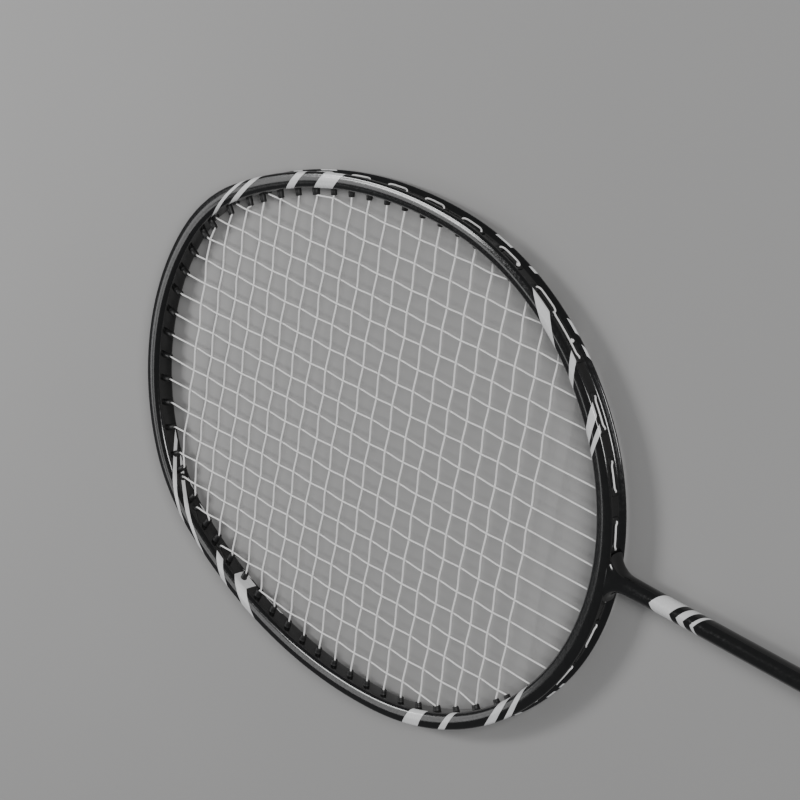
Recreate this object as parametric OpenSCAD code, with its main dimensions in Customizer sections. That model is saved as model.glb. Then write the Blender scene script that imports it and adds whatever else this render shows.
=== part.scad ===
// Badminton racket: a hollow carbon hoop and shaft, a wooden octagonal handle with a
// wrapped grip, and a bed of 19 main and 21 cross strings held by nylon grommets.
// The origin is the centre of the butt's flat end. +Y runs from the butt to the tip of
// the hoop, +X is sideways in the plane of the strings, and +Z is square to that plane.

/* [Overall] */
// Length from the butt to the tip of the hoop
overall_length = 675; // [670:1:680]

/* [Hoop outline, inner wall] */
// Radius of the arc across the tip
tip_radius = 92; // [90:0.5:94]
// Radius of the two shoulder arcs beside the tip
shoulder_radius = 63; // [62:0.5:64]
// Radius of the two long side arcs
side_radius = 175; // [170:1:180]
// Radius of the two hip arcs that turn in to the throat
hip_radius = 102; // [100:0.5:104]
// Angle that each half of the tip arc turns through
tip_angle = 28; // [27:0.5:29]
// Angle that each shoulder arc turns through
shoulder_angle = 30; // [29:0.5:31]
// Angle that each side arc turns through
side_angle = 38; // [37:0.5:39]
// Angle that each hip arc turns through
hip_angle = 52; // [51:0.5:53]

/* [Hoop section] */
// Width of the hoop's section, from the inner wall to the outer rims
frame_w = 6.3; // [6:0.1:6.8]
// Depth of the hoop's section, square to the strings
frame_h = 9.4; // [9:0.1:10]
// Rounding of the section's inner corners
inner_round = 1.8; // [1.2:0.1:2.2]
// Rounding of the section's outer corners
outer_round = 1.0; // [0.6:0.1:1.1]
// Depth of the string groove below the rims
groove_depth = 1.8; // [1.6:0.1:2]
// Width of the groove at the rims
groove_top = 6.6; // [6:0.1:7]
// Width of the groove's flat bottom
groove_bottom = 3.8; // [3.6:0.1:4.2]
// Thickness of the hoop's wall
frame_wall = 1.2; // [1:0.1:1.3]

// How much deeper the section is at the throat, towards the strings
throat_growth = 1.3; // [0.8:0.1:1.6]

/* [Strings] */
// Diameter of the string
string_d = 0.7; // [0.62:0.01:0.75]
// Distance between neighbouring mains across the middle of the head
main_pitch = 9.17; // [9:0.01:9.3]
// Distance between the outer mains on each side
outer_main_pitch = 9.75; // [9.5:0.05:9.9]
// Distance between neighbouring crosses
cross_pitch = 9.02; // [8.95:0.01:9.1]
// Distance from the throat's inner wall to the lowest cross
cross_start = 35; // [34:0.5:36]

/* [Grommets] */
// Outer diameter of a grommet's barrel
barrel_d = 2.4; // [2.2:0.1:2.6]
// Bore of a grommet that holds one string
barrel_bore = 1.2; // [1.1:0.1:1.4]
// How far a barrel stands proud of the inner wall round the tip
barrel_proud = 3.2; // [2.8:0.1:3.4]
// How far a barrel stands proud along the lower sides
side_proud = 1.6; // [1.4:0.1:2]
// How far a barrel stands proud at the throat
throat_proud = 0.5; // [0.4:0.1:0.8]
// Outer diameter of a barrel shared by a main and a cross
shared_d = 2.9; // [2.8:0.1:3]
// Bore of a barrel shared by a main and a cross
shared_bore = 2.1; // [2:0.1:2.2]

/* [Shaft and throat] */
// Outer diameter of the shaft
shaft_d = 7.1; // [6.8:0.1:7.4]
// Bore of the shaft
shaft_bore = 4.6; // [4.4:0.1:4.8]
// Distance from the butt to the end of the shaft inside the handle
shaft_start = 84; // [70:1:95]
// Radius of the fillets between the hoop and the shaft
throat_fillet = 6.5; // [6:0.5:8]
// Length of the moulded stem below the hoop
throat_stem = 18; // [16:0.5:22]

/* [Handle] */
// Width of the wooden core, in the plane of the strings
core_w = 23.2; // [22.4:0.2:24]
// Thickness of the wooden core
core_t = 20.6; // [20:0.2:21.4]
// Length of the wooden core
core_length = 168; // [160:1:172]
// Thickness of the wrapped grip
grip_t = 1.6; // [1.2:0.1:1.8]
// Distance from the butt to the top of the grip
grip_top = 166; // [155:1:167]
// Width of the flared butt cap
cap_w = 29; // [28.4:0.2:30]
// Distance from the butt to the top of the cone
cone_top = 208; // [200:1:215]

/* [Hidden] */

$fn = 48;
arc_fn = 180;
eps = 0.02;

// ---- hoop outline --------------------------------------------------------
// The outline is a chain of arcs that meet at a tangent. A place on it is named by its
// heading: the angle from +Y of the outward normal, 0 at the tip and 180 at the throat.
last_arc = 4;
headings = [0, tip_angle, tip_angle + shoulder_angle, tip_angle + shoulder_angle + side_angle,
            tip_angle + shoulder_angle + side_angle + hip_angle, 180];
tip_wall_y = overall_length - frame_w;

function normal_at(h) = [sin(h), cos(h)];
function arc_radius(i) =
    i == 0 ? tip_radius :
    i == 1 ? shoulder_radius :
    i == 2 ? side_radius :
    i == 3 ? hip_radius :
    arc_start(last_arc).x / sin(headings[last_arc]);
function arc_start(i) =
    i == 0 ? [0, tip_wall_y] : arc_centre(i - 1) + arc_radius(i - 1) * normal_at(headings[i]);
function arc_centre(i) = arc_start(i) - arc_radius(i) * normal_at(headings[i]);

radii = [for (i = [0:last_arc]) arc_radius(i)];
centres = [for (i = [0:last_arc]) arc_centre(i)];
throat_wall_y = centres[last_arc].y - radii[last_arc];
throat_outer_y = throat_wall_y - frame_w;

function arc_of(h) = len([for (i = [1:last_arc]) if (h > headings[i]) 1]);
// Point at heading h, a distance n outside the inner wall
function outline_point(h, n) = centres[arc_of(h)] + (radii[arc_of(h)] + n) * normal_at(h);

function on_arc(h, i) = h >= headings[i] - eps && h <= headings[i + 1] + eps;
function in_reach(s) = abs(s) <= 1;
// Heading where the outline, moved out by n, passes x on the tip side or the throat side
function heading_at_x(x, n, tip_side) = [
    for (i = [0:last_arc])
        let (s = (x - centres[i].x) / (radii[i] + n))
        if (in_reach(s))
            let (h = tip_side ? asin(s) : 180 - asin(s))
            if (on_arc(h, i)) h][0];
// Heading where the outline, moved out by n, passes y
function heading_at_y(y, n) = [
    for (i = [0:last_arc])
        let (s = (y - centres[i].y) / (radii[i] + n))
        if (in_reach(s) && on_arc(acos(s), i)) acos(s)][0];

// ---- string layout -------------------------------------------------------
main_count = 19;
cross_count = 21;
centre_main = (main_count + 1) / 2;
even_mains = 7;
weave = string_d / 2 + 0.02;
shared_z = 0.45;
loop_z = 0.85;
loop_n = frame_w - groove_depth + 1.0;
exit_x = 6.0;

// Share of the way from heading a to heading b, held between 0 and 1
function share_of(h, a, b) = min(1, max(0, (h - a) / (b - a)));
// The section deepens between these two headings
growth_span = [125, 170];
function growth_at(h) =
    let (s = share_of(h, growth_span[0], growth_span[1]))
    throat_growth * s * s * (3 - 2 * s);
// The barrels get shorter between these two headings, and are nearly flush past a third
proud_fade = [62, 98];
flush_from = 138;
function proud_at(h) =
    h > flush_from ? growth_at(h) + throat_proud
                   : barrel_proud + (side_proud - barrel_proud) * share_of(h, proud_fade[0], proud_fade[1]);

function main_x(m) =
    let (k = centre_main - m)
    sign(k) * (min(abs(k), even_mains) * main_pitch + max(abs(k) - even_mains, 0) * outer_main_pitch);
function cross_y(c) = throat_wall_y + cross_start + (cross_count - c) * cross_pitch;
function mirror_main(m) = min(m, main_count + 1 - m);
function side_of(m) = m > centre_main ? -1 : 1;

// The cross whose hole an outer main shares, or 0 where the main has its own
function tip_partner(m) = mirror_main(m) == 1 ? 7 : 0;
function throat_partner(m) =
    let (k = mirror_main(m))
    k == 1 ? 18 : k == 2 ? 20 : 0;
shared_crosses = [7, 18, 20];
function cross_is_shared(c) = len([for (s = shared_crosses) if (s == c) 1]) > 0;
// The first crosses' holes stand further round, clear of the holes of the outer mains,
// and three mains on each side have nearly flush holes straight in line
corner_shift = [3.4, 1.9, 0.9];
flush_mains = [2, 3, 4];
function cross_shift(c) = c <= len(corner_shift) ? corner_shift[c - 1] : 0;
function is_flush_main(m) = len([for (f = flush_mains) if (f == mirror_main(m)) 1]) > 0;

// A port is one string hole: [side, heading, barrel height above the wall, string z]
function cross_proud(c) = proud_at(heading_at_y(cross_y(c), -barrel_proud));
function cross_heading(c) = heading_at_y(cross_y(c), -cross_proud(c)) + cross_shift(c);
function cross_port(c, side) =
    [side, cross_heading(c), cross_proud(c), cross_is_shared(c) ? -shared_z : 0];
function own_port(m, tip_side) =
    let (x = abs(main_x(m)),
         proud = tip_side && is_flush_main(m) ? throat_proud
                                              : proud_at(heading_at_x(x, -barrel_proud, tip_side)))
    [side_of(m), heading_at_x(x, -proud, tip_side), proud, 0];
function main_port(m, tip_side) =
    let (partner = tip_side ? tip_partner(m) : throat_partner(m))
    partner > 0 ? [side_of(m), cross_heading(partner), cross_proud(partner), shared_z]
                : own_port(m, tip_side);
// The centre main's lower hole slants to one side, round the shaft's connector
centre_mouth = [0, throat_wall_y + throat_growth + throat_proud, 0];
centre_exit_h = heading_at_x(exit_x, frame_w - groove_depth, false);

function port_point(port, n) =
    let (p = outline_point(port[1], n))
    [port[0] * p.x, p.y, port[3]];

// ---- string paths --------------------------------------------------------
mouth_gap = 0.7;
function mouth_x(c) = outline_point(cross_heading(c), -cross_proud(c)).x;
// Whether main m and cross c pass each other before either reaches its barrel
function is_woven(m, c) =
    abs(main_x(m)) < mouth_x(c) - mouth_gap && tip_partner(m) != c && throat_partner(m) != c;
function over(m, c) = (m + c) % 2 == 0 ? 1 : -1;
function reversed(list) = [for (i = [len(list) - 1:-1:0]) list[i]];

// A loop keeps its own height in the groove until it's within this angle of its hole
loop_lead = 0.8;
function groove_run(a, b, z) =
    let (turn = b[1] - a[1],
         steps = max(2, ceil(abs(turn) / 5)),
         lead = min(0.5 / steps, loop_lead / abs(turn)))
    [for (j = [0:steps])
        let (p = outline_point(a[1] + turn * (lead + (1 - 2 * lead) * j / steps), loop_n))
        [a[0] * p.x, p.y, z]];

function port_pair(port) = [port_point(port, loop_n), port_point(port, -port[2])];
centre_port = [-1, centre_exit_h, 0, 0];
function main_low_end(m) =
    m == centre_main ? [port_point(centre_port, loop_n), centre_mouth] : port_pair(main_port(m, false));
function main_low_port(m) = m == centre_main ? centre_port : main_port(m, false);
function main_up(m) = concat(
    main_low_end(m),
    [for (c = [cross_count:-1:1])
        if (is_woven(m, c)) [main_x(m), cross_y(c), weave * over(m, c)]],
    reversed(port_pair(main_port(m, true))));
function main_run(m) = m % 2 == 1 ? main_up(m) : reversed(main_up(m));
function main_link(m) =
    m % 2 == 1 ? groove_run(main_port(m, true), main_port(m + 1, true), loop_z)
               : groove_run(main_low_port(m), main_low_port(m + 1), loop_z);
main_path = [for (m = [1:main_count])
    each concat(main_run(m), m < main_count ? main_link(m) : [])];

function cross_right(c) = concat(
    port_pair(cross_port(c, -1)),
    [for (m = [main_count:-1:1])
        if (is_woven(m, c)) [main_x(m), cross_y(c), -weave * over(m, c)]],
    reversed(port_pair(cross_port(c, 1))));
function cross_run(c) = c % 2 == 1 ? cross_right(c) : reversed(cross_right(c));
function cross_link(c) =
    let (side = c % 2 == 1 ? 1 : -1)
    groove_run(cross_port(c, side), cross_port(c + 1, side), -loop_z);
cross_path = [for (c = [1:cross_count])
    each concat(cross_run(c), c < cross_count ? cross_link(c) : [])];

// ---- sweep ---------------------------------------------------------------
function unit(v) = v / norm(v);
function tangent(path, i) =
    i == 0 ? unit(path[1] - path[0]) :
    i == len(path) - 1 ? unit(path[i] - path[i - 1]) :
    unit(unit(path[i + 1] - path[i]) + unit(path[i] - path[i - 1]));
function ring(path, i, r, sides) =
    let (t = tangent(path, i), across = unit(cross(t, [0, 0, 1])), up = cross(across, t))
    [for (s = [0:sides - 1])
        let (a = 360 * (s + 0.5) / sides)
        path[i] + r * (cos(a) * across + sin(a) * up)];

module string_tube(path, r, sides) {
    rings = len(path);
    points = [for (i = [0:rings - 1]) each ring(path, i, r, sides)];
    walls = [for (i = [0:rings - 2], s = [0:sides - 1])
        let (a = i * sides + s, b = i * sides + (s + 1) % sides)
        [a, b, b + sides, a + sides]];
    start_cap = [for (s = [sides - 1:-1:0]) s];
    end_cap = [for (s = [0:sides - 1]) (rings - 1) * sides + s];
    polyhedron(points, concat(walls, [start_cap, end_cap]));
}

// ---- hoop ----------------------------------------------------------------
corner_steps = 4;
function corner(cx, cz, r, from) = [
    for (j = [0:corner_steps])
        let (a = from + 90 * j / corner_steps)
        [cx + r * cos(a), cz + r * sin(a)]];
// Section of the hoop at heading h: x is the distance outside the inner wall and y is
// square to the strings. The groove runs out to nothing just before the shaft.
inner_corners = concat(
    corner(inner_round, frame_h / 2 - inner_round, inner_round, 90),
    corner(inner_round, -frame_h / 2 + inner_round, inner_round, 180));
lower_corner = corner(frame_w - outer_round, -frame_h / 2 + outer_round, outer_round, 270);
upper_corner = corner(frame_w - outer_round, frame_h / 2 - outer_round, outer_round, 0);
groove_floor = frame_w - groove_depth;
groove_end_x = 4.2;
groove_run_out = 1;
groove_stop = 180 - asin(groove_end_x / (radii[last_arc] + frame_w));
function groove_left(h) = min(1, max(0, (groove_stop - h) / groove_run_out));
function hoop_section(h) =
    let (floor_n = frame_w - groove_depth * groove_left(h))
    concat([for (q = inner_corners) [q.x - growth_at(h), q.y]], lower_corner,
           [[frame_w, -groove_top / 2], [floor_n, -groove_bottom / 2],
            [floor_n, groove_bottom / 2], [frame_w, groove_top / 2]],
           upper_corner);

cavity_h = frame_h - 2 * frame_wall - 0.6;
cavity_w = groove_floor - 2 * frame_wall;
function cavity_section(h) = [
    [frame_wall, cavity_h / 2], [frame_wall, -cavity_h / 2],
    [frame_wall + cavity_w, -cavity_h / 2], [frame_wall + cavity_w, cavity_h / 2]];

// Headings of the hoop's rings, from the tip round to the throat
ring_turn = 4;
arc_headings = [for (i = [0:last_arc])
    let (turn = headings[i + 1] - headings[i],
         steps = ceil(turn / (i == last_arc ? ring_turn / 2 : ring_turn)))
    each [for (j = [0:steps - 1]) headings[i] + turn * j / steps]];
near_groove_end = [groove_stop - groove_run_out, groove_stop];
function clear_of_groove_end(h) = min([for (g = near_groove_end) abs(h - g)]) > 0.3;
half_headings = [for (h = arc_headings) if (clear_of_groove_end(h)) h];
right_headings = concat([for (h = half_headings) if (h < near_groove_end[0]) h], near_groove_end,
                        [for (h = half_headings) if (h > near_groove_end[1]) h], [180]);
left_headings = [for (i = [len(right_headings) - 2:-1:1]) right_headings[i]];
hoop_stations = concat([for (h = right_headings) [1, h]], [for (h = left_headings) [-1, h]]);

// Sweeps a section round the whole hoop; sections is one list of [n, z] for each station
module hoop_sweep(sections) {
    rings = len(hoop_stations);
    sides = len(sections[0]);
    points = [for (i = [0:rings - 1]) each [for (q = sections[i])
        let (p = outline_point(hoop_stations[i][1], q.x))
        [hoop_stations[i][0] * p.x, p.y, q.y]]];
    faces = [for (i = [0:rings - 1], s = [0:sides - 1])
        let (a = i * sides, b = (i + 1) % rings * sides, t = (s + 1) % sides)
        [a + s, b + s, b + t, a + t]];
    polyhedron(points, faces);
}

// Sweeps children, drawn in the hoop's section, along the last arc between two headings
module throat_sweep(from, to) {
    translate([centres[last_arc].x, centres[last_arc].y, 0])
        rotate([0, 0, 90 - to])
            rotate_extrude(angle = to - from, $fn = arc_fn)
                translate([radii[last_arc], 0]) children();
}

// Puts children, which stand along +Z, at a port with their base a distance n from the wall
module at_port(port, n) {
    p = outline_point(port[1], n);
    translate([port[0] * p.x, p.y, 0])
        rotate([0, 0, -port[0] * port[1]])
            rotate([-90, 0, 0]) children();
}
hole_gap = 0.1;
module port_hole(port, d) {
    at_port(port, -frame_w) cylinder(d = d + hole_gap, h = 2 * frame_w - groove_depth + 1);
}

slant_d = 1.6;
slant_bore = 0.95;
centre_exit = [-exit_x, outline_point(centre_exit_h, groove_floor).y, 0];
slant_run = centre_exit - centre_mouth;
slant_angle = atan2(-slant_run.x, -slant_run.y);
slant_length = norm(slant_run);
// Stands children along the centre main's slanted hole, from its mouth outwards
module on_slant(start) {
    translate(centre_mouth)
        rotate([0, 0, -slant_angle])
            rotate([90, 0, 0])
                translate([0, 0, start]) children();
}

connector_d = 4.4;
module frame_hoop() {
    color([0.09, 0.09, 0.1])
    difference() {
        hoop_sweep([for (st = hoop_stations) hoop_section(st[1])]);
        hoop_sweep([for (st = hoop_stations) cavity_section(st[1])]);
        for (side = [-1, 1], c = [1:cross_count])
            port_hole(cross_port(c, side), cross_is_shared(c) ? shared_d : barrel_d);
        for (m = [1:main_count]) {
            if (tip_partner(m) == 0)
                port_hole(main_port(m, true), barrel_d);
            if (throat_partner(m) == 0 && m != centre_main)
                port_hole(main_port(m, false), barrel_d);
        }
        on_slant(-2) cylinder(d = slant_d + hole_gap, h = slant_length + 4);
        translate([0, throat_wall_y - frame_wall - cavity_w / 2, 0])
            rotate([90, 0, 0]) cylinder(d = connector_d + hole_gap, h = frame_w);
    }
}

// ---- throat --------------------------------------------------------------
shaft_top_y = throat_outer_y - throat_stem;
outer_r = radii[last_arc] + frame_w;
fillet_x = shaft_d / 2 + throat_fillet;
fillet_y = centres[last_arc].y - sqrt(pow(outer_r + throat_fillet, 2) - pow(fillet_x, 2));
fillet_root = fillet_x * outer_r / (outer_r + throat_fillet);
root_y = centres[last_arc].y - sqrt(pow(outer_r, 2) - pow(fillet_root, 2));
flare_r = 7;
flare_steps = 8;
flare_y = fillet_y - 1;
flare_margin = 6;

module throat_plan() {
    difference() {
        translate([-fillet_root, shaft_top_y])
            square([2 * fillet_root, root_y - shaft_top_y]);
        translate([centres[last_arc].x, centres[last_arc].y]) circle(r = outer_r, $fn = arc_fn);
        for (side = [-1, 1])
            translate([side * fillet_x, fillet_y]) circle(r = throat_fillet, $fn = 96);
        for (side = [-1, 1])
            translate([side * (shaft_d / 2 + throat_fillet / 2), (shaft_top_y + fillet_y) / 2])
                square([throat_fillet, fillet_y - shaft_top_y], center = true);
    }
}
// Profile of the body of revolution that rounds the stem into the hoop's full depth
module throat_flare() {
    curve = [for (j = [0:flare_steps])
        let (a = 90 * j / flare_steps)
        [shaft_d / 2 + flare_r * (1 - cos(a)), flare_y + flare_r * sin(a)]];
    polygon(concat([[0, shaft_top_y], [shaft_d / 2, shaft_top_y]], curve,
                   [[fillet_root + flare_margin, flare_y + flare_r],
                    [fillet_root + flare_margin, root_y + flare_margin], [0, root_y + flare_margin]]));
}
module throat_joint() {
    color([0.09, 0.09, 0.1])
    difference() {
        intersection() {
            linear_extrude(frame_h - 0.4, center = true) throat_plan();
            rotate([-90, 0, 0])
                rotate_extrude($fn = 96) throat_flare();
        }
        translate([0, shaft_top_y - 1, 0])
            rotate([-90, 0, 0]) cylinder(d = connector_d + hole_gap, h = throat_stem + 10);
    }
}

connector_end_y = shaft_top_y - 36;
arm_gap = 0.15;
module t_connector() {
    arm_half = asin(7.5 / radii[last_arc]);
    color([0.6, 0.61, 0.63])
    difference() {
        union() {
            throat_sweep(180 - arm_half, 180 + arm_half)
                translate([frame_wall + arm_gap, -cavity_h / 2 + arm_gap])
                    square([cavity_w - 2 * arm_gap, cavity_h - 2 * arm_gap]);
            translate([0, throat_wall_y - frame_wall - cavity_w / 2, 0])
                rotate([90, 0, 0])
                    cylinder(d = connector_d, h = throat_wall_y - frame_wall - cavity_w / 2 - connector_end_y);
        }
        on_slant(-2) cylinder(d = slant_d + 2 * hole_gap, h = slant_length + 4);
    }
}

module shaft_tube() {
    color([0.09, 0.09, 0.1])
    translate([0, shaft_start, 0])
        rotate([-90, 0, 0])
            difference() {
                cylinder(d = shaft_d, h = shaft_top_y - shaft_start);
                translate([0, 0, -1]) cylinder(d = shaft_bore, h = shaft_top_y - shaft_start + 2);
            }
}

// ---- handle --------------------------------------------------------------
flat_share = 0.29;
module octagon(w, t) {
    c = flat_share * t;
    polygon([[w / 2, -t / 2 + c], [w / 2, t / 2 - c], [w / 2 - c, t / 2], [-w / 2 + c, t / 2],
             [-w / 2, t / 2 - c], [-w / 2, -t / 2 + c], [-w / 2 + c, -t / 2], [w / 2 - c, -t / 2]]);
}
// Prism with its axis along Y, from y0 to y1
module prism_y(y0, y1) {
    translate([0, y0, 0]) rotate([-90, 0, 0]) linear_extrude(y1 - y0) children();
}
slab = 0.02;
module taper_y(y0, w0, t0, y1, w1, t1) {
    hull() {
        prism_y(y0, y0 + slab) octagon(w0, t0);
        prism_y(y1 - slab, y1) octagon(w1, t1);
    }
}

side_step = core_w - core_t;
cap_t = cap_w - side_step;
cap_floor = 3;
cap_skirt_y = 13;
cap_lip_y = 5;
cap_skirt_w = core_w + 2.4;
core_y = cap_floor + 0.1;
core_end_y = core_y + core_length;
neck_w = core_w - 2.4;
neck_y = core_end_y - 14;

module handle_core() {
    color([0.78, 0.62, 0.42])
    difference() {
        union() {
            prism_y(core_y, neck_y) octagon(core_w, core_t);
            prism_y(neck_y, core_end_y) octagon(neck_w, neck_w - side_step);
        }
        translate([0, shaft_start - 1, 0])
            rotate([-90, 0, 0]) cylinder(d = shaft_d + hole_gap, h = core_length);
        tack_shape(tack_d + hole_gap, tack_depth + hole_gap);
    }
}

disc_d = 17;
disc_t = 1;
staple_y = 9;
staple_half = 4;
staple_wire = 0.9;
skirt_z = (cap_skirt_w - side_step) / 2;
module butt_cap() {
    color([0.12, 0.12, 0.13])
    difference() {
        union() {
            taper_y(0, cap_w - 2, cap_t - 2, 1, cap_w, cap_t);
            prism_y(1 - slab, cap_lip_y) octagon(cap_w, cap_t);
            prism_y(cap_lip_y - slab, cap_skirt_y) octagon(cap_skirt_w, cap_skirt_w - side_step);
        }
        prism_y(cap_floor, cap_skirt_y + 1) octagon(core_w + 0.1, core_t + 0.1);
        translate([0, -1, 0]) rotate([-90, 0, 0]) cylinder(d = disc_d + 0.2, h = disc_t + 1);
        for (side = [-1, 1], leg = [-1, 1])
            staple_leg(side, leg, staple_wire + hole_gap);
    }
}
// One leg of a staple, driven inwards through the skirt from its broad face
staple_leg_l = (cap_skirt_w - core_w) / 2;
module staple_leg(side, leg, d) {
    translate([leg * staple_half, staple_y, side * (skirt_z - staple_leg_l + 0.1)])
        rotate([side > 0 ? 0 : 180, 0, 0]) cylinder(d = d, h = staple_leg_l);
}
// Two wire staples that hold the cap to the core, one on each broad face
module cap_staples() {
    color([0.7, 0.71, 0.73])
    for (side = [-1, 1]) {
        translate([0, staple_y, side * (skirt_z + eps + staple_wire / 4)])
            cube([2 * staple_half + staple_wire, staple_wire, staple_wire / 2], center = true);
        for (leg = [-1, 1])
            staple_leg(side, leg, staple_wire);
    }
}
module butt_disc() {
    color([0.75, 0.76, 0.78])
    translate([0, 0.1, 0])
        rotate([-90, 0, 0]) cylinder(d = disc_d, h = disc_t - 0.1);
}

grip_y = cap_lip_y + 0.1;
grip_swell_y = cap_skirt_y + 8;
grip_fit = 0.1;
module grip_body(extra) {
    w = core_w + grip_fit + 2 * extra;
    t = core_t + grip_fit + 2 * extra;
    skirt_w = cap_skirt_w + 1 + 2 * extra;
    union() {
        prism_y(grip_y - extra, cap_skirt_y + 1) octagon(skirt_w, skirt_w - side_step);
        taper_y(cap_skirt_y + 1 - slab, skirt_w, skirt_w - side_step, grip_swell_y, w, t);
        prism_y(grip_swell_y - slab, grip_top + extra) octagon(w, t);
    }
}
module base_grip() {
    color([0.16, 0.16, 0.17])
    difference() {
        intersection() {
            grip_body(grip_t);
            prism_y(grip_y, grip_top) square(2 * cap_w, center = true);
        }
        grip_body(0);
        prism_y(grip_y - 1, cap_skirt_y + 1.1) octagon(cap_skirt_w + 1, cap_skirt_w + 1 - side_step);
    }
}
tack_y = grip_swell_y + 6;
tack_d = 1.2;
tack_depth = 6;
module tack_shape(d, depth) {
    translate([0, tack_y, core_t / 2 - depth]) cylinder(d = d, h = depth);
}
// A short nail that fixes the start of the grip to the core above the cap
module grip_tack() {
    color([0.7, 0.71, 0.73]) tack_shape(tack_d, tack_depth);
}
tape_t = 0.35;
tape_y = grip_top - 9;
module finish_tape() {
    w = core_w + grip_fit + 2 * grip_t;
    t = core_t + grip_fit + 2 * grip_t;
    color([0.05, 0.05, 0.055])
    difference() {
        prism_y(tape_y, grip_top + 0.5) octagon(w + 2 * tape_t + 0.1, t + 2 * tape_t + 0.1);
        prism_y(tape_y - 1, grip_top + 2) octagon(w + 0.1, t + 0.1);
    }
}

cone_mouth_d = 9.6;
cone_wall = 1.4;
cone_base_y = core_end_y + 2;
// The cone's tapering body, made smaller all round by inset
module cone_taper(inset) {
    hull() {
        prism_y(cone_base_y - slab, cone_base_y) octagon(core_w - 2 * inset, core_t - 2 * inset);
        prism_y(cone_top - 12, cone_top - 11) circle(d = cone_mouth_d + 1.6 - 2 * inset, $fn = 32);
        if (inset == 0)
            prism_y(cone_top - 1, cone_top) circle(d = cone_mouth_d, $fn = 32);
    }
}
module cone_cap() {
    color([0.07, 0.07, 0.075])
    difference() {
        union() {
            prism_y(neck_y + 0.2, cone_base_y) octagon(core_w, core_t);
            cone_taper(0);
        }
        cone_taper(cone_wall);
        prism_y(neck_y - 1, core_end_y + 0.1) octagon(neck_w + 0.1, neck_w - side_step + 0.1);
        prism_y(core_end_y, cone_base_y) octagon(core_w - 2 * cone_wall, core_t - 2 * cone_wall);
        translate([0, neck_y, 0])
            rotate([-90, 0, 0]) cylinder(d = shaft_d + hole_gap, h = cone_top);
    }
}

// ---- strings -------------------------------------------------------------
string_sides = 6;
end_gap = 0.45;
// A free end stops on the flange of its grommet, under its knot
function trimmed(path) = [for (i = [0:len(path) - 1])
    i == 0 ? path[0] + end_gap * unit(path[1] - path[0]) :
    i == len(path) - 1 ? path[i] + end_gap * unit(path[i - 1] - path[i]) :
    path[i]];
module main_string() {
    color([0.93, 0.93, 0.93]) string_tube(trimmed(main_path), string_d / 2, string_sides);
}
module cross_string() {
    color([0.93, 0.93, 0.93]) string_tube(trimmed(cross_path), string_d / 2, string_sides);
}

flange_t = 0.6;
knot_n = groove_floor + flange_t + 0.05;
knot_d = 1.5;
module knot(port) {
    translate([0, 0, port[3]])
        at_port(port, knot_n) cylinder(d = knot_d, h = frame_w - knot_n);
}
module main_knots() {
    color([0.9, 0.9, 0.9]) {
        knot(main_port(1, false));
        knot(main_port(main_count, true));
    }
}
module cross_knots() {
    color([0.9, 0.9, 0.9]) {
        knot(cross_port(1, -1));
        knot(cross_port(cross_count, 1));
    }
}

// ---- grommets ------------------------------------------------------------
flange_l = 3;
flange_w = 3.2;
strip_w = 2.4;
strip_lift = 0.25;
module grommet_solid(port, d) {
    at_port(port, -port[2]) cylinder(d = d, h = port[2] + groove_floor + flange_t / 2);
    at_port(port, groove_floor + eps)
        translate([-flange_l / 2, -flange_w / 2, 0]) cube([flange_l, flange_w, flange_t - eps]);
}
module grommet_bore(port, bore) {
    at_port(port, -port[2] - 1) cylinder(d = bore, h = port[2] + frame_w + 2);
}
module grommet(port, d, bore) {
    difference() {
        grommet_solid(port, d);
        grommet_bore(port, bore);
    }
}
// Two grommets joined by a strip in the bottom of the groove
module grommet_pair(a, b) {
    pa = port_point(a, groove_floor);
    pb = port_point(b, groove_floor);
    run = pb - pa;
    difference() {
        union() {
            grommet_solid(a, barrel_d);
            grommet_solid(b, barrel_d);
            translate([(pa.x + pb.x) / 2, (pa.y + pb.y) / 2, 0])
                rotate([0, 0, atan2(run.y, run.x)])
                    translate([-norm(run) / 2, side_sign(a, b) > 0 ? strip_lift : -flange_t, -strip_w / 2])
                        cube([norm(run), flange_t - strip_lift, strip_w]);
        }
        grommet_bore(a, barrel_bore);
        grommet_bore(b, barrel_bore);
    }
}
// Which side of the run from a to b faces away from the head
function side_sign(a, b) = -a[0] * sign(b[1] - a[1]);

grommet_colour = [0.05, 0.05, 0.055];
module grommet_row(pairs, singles) {
    color(grommet_colour) {
        for (p = pairs)
            grommet_pair(p[0], p[1]);
        for (s = singles)
            grommet(s, barrel_d, barrel_bore);
    }
}
module tip_grommets() {
    pairs = [for (m = [5, 7, 9, 11, 13]) [main_port(m, true), main_port(m + 1, true)]];
    singles = [for (m = [2, 3, 4, 15, 16, 17, 18]) main_port(m, true)];
    grommet_row(pairs, singles);
}
module right_grommets() {
    pairs = [for (c = [5, 9, 11, 13, 15]) [cross_port(c, 1), cross_port(c + 1, 1)]];
    singles = [for (c = [1, 2, 3, 4, 8, 17, 19, 21]) cross_port(c, 1)];
    grommet_row(pairs, singles);
}
module left_grommets() {
    pairs = [for (c = [5, 8, 10, 12, 14, 16]) [cross_port(c, -1), cross_port(c + 1, -1)]];
    singles = [for (c = [1, 2, 3, 4, 19, 21]) cross_port(c, -1)];
    grommet_row(pairs, singles);
}
module throat_grommets() {
    pairs = [for (m = [4, 6, 8, 12, 14]) [main_port(m, false), main_port(m + 1, false)]];
    singles = [for (m = [3, 11, 16, 17]) main_port(m, false)];
    grommet_row(pairs, singles);
}
module shared_grommets() {
    color(grommet_colour)
    for (side = [-1, 1], c = shared_crosses)
        grommet(cross_port(c, side), shared_d, shared_bore);
}
module centre_grommet() {
    color(grommet_colour)
    on_slant(0)
        difference() {
            cylinder(d = slant_d, h = slant_length);
            translate([0, 0, -1]) cylinder(d = slant_bore, h = slant_length + 2);
        }
}

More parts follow.
